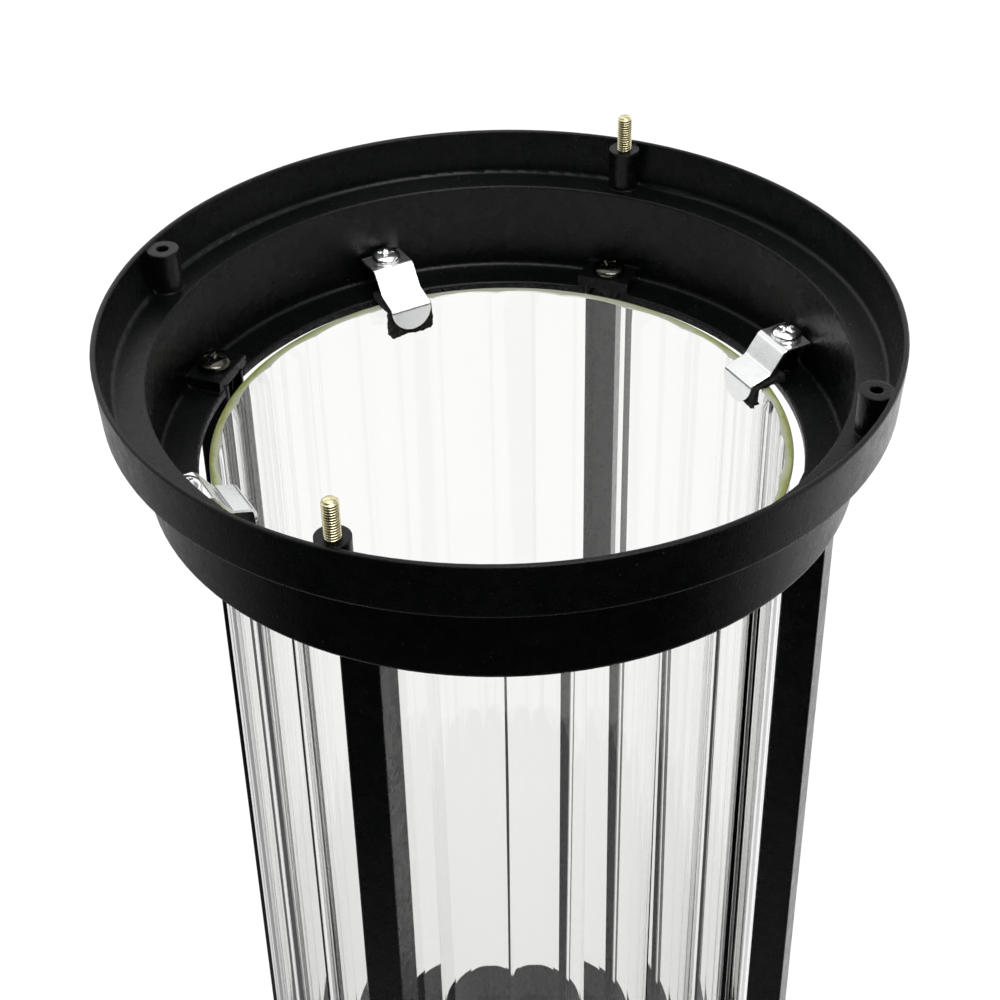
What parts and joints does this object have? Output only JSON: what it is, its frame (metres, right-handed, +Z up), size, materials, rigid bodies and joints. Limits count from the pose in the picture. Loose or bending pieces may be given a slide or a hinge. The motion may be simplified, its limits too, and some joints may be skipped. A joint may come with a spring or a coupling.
{
  "type": "outdoor wall light",
  "caption": "Round outdoor wall lantern with its roof off: cast ring and base, posts round a fluted glass cylinder, sprung glass clips, lampholder, bent arm and wall plate.",
  "frame": {"origin": "middle of the wall fixing, on the wall", "axes": "+X along the wall, +Y away from the wall, +Z up along the lantern"},
  "size_m": [0.2, 0.26, 0.5727],
  "materials": {
    "powder_black": "satin fine-textured powder coat",
    "zinc": "bright zinc plate",
    "yellow_zinc": "yellow zinc plate",
    "black_zinc": "glossy black zinc plate",
    "glass": "clear, yellow-green edge",
    "felt": "charcoal felt",
    "rubber": "soft black rubber",
    "phenolic": "moulded, satin",
    "brass": "bright brass",
    "sheet_steel": "zinc plate",
    "terminal_plastic": "translucent white"
  },
  "bodies": {
    "lantern": {"top_ring": "powder_black", "roof_studs": "yellow_zinc", "post_top_screws": "black_zinc", "post_bottom_screws": "black_zinc", "glass_cylinder": "glass", "glass_gasket": "rubber", "clip_screws": "zinc", "base_dish": "powder_black", "lamp_tray": "powder_black", "tray_screws": "black_zinc", "lampholder_shell": "phenolic", "lampholder_thread": "brass", "lampholder_contact": "brass", "lampholder_nipple": "sheet_steel", "nipple_nut": "sheet_steel", "arm_top_nut": "sheet_steel", "arm_tube": "powder_black", "arm_wall_nut": "sheet_steel", "wall_plate": "powder_black", "wall_gasket": "rubber", "crossbar": "sheet_steel", "plate_studs": "sheet_steel", "cap_nuts": "black_zinc", "terminal_block": "terminal_plastic", "earth_screw": "brass", "post_1": "powder_black", "post_2": "powder_black", "post_3": "powder_black", "post_4": "powder_black"},
    "turning_clip_1": {"clip_1": "zinc", "clip_pad_1": "felt"},
    "turning_clip_2": {"clip_2": "zinc", "clip_pad_2": "felt"},
    "turning_clip_3": {"clip_3": "zinc", "clip_pad_3": "felt"},
    "turning_clip_4": {"clip_4": "zinc", "clip_pad_4": "felt"}
  },
  "joints": [
    {"name": "clip_1_swivel", "type": "hinge", "parent": "lantern", "child": "turning_clip_1", "pos_m": [0.0831, 0.16, 0.4737], "axis": [0, 0, 1], "range_deg": [-14, 2]},
    {"name": "clip_2_swivel", "type": "hinge", "parent": "lantern", "child": "turning_clip_2", "pos_m": [0, 0.2431, 0.4737], "axis": [0, 0, 1], "range_deg": [-14, 2]},
    {"name": "clip_3_swivel", "type": "hinge", "parent": "lantern", "child": "turning_clip_3", "pos_m": [-0.0831, 0.16, 0.4737], "axis": [0, 0, 1], "range_deg": [-14, 2]},
    {"name": "clip_4_swivel", "type": "hinge", "parent": "lantern", "child": "turning_clip_4", "pos_m": [0, 0.0769, 0.4737], "axis": [0, 0, 1], "range_deg": [-14, 2]}
  ]
}
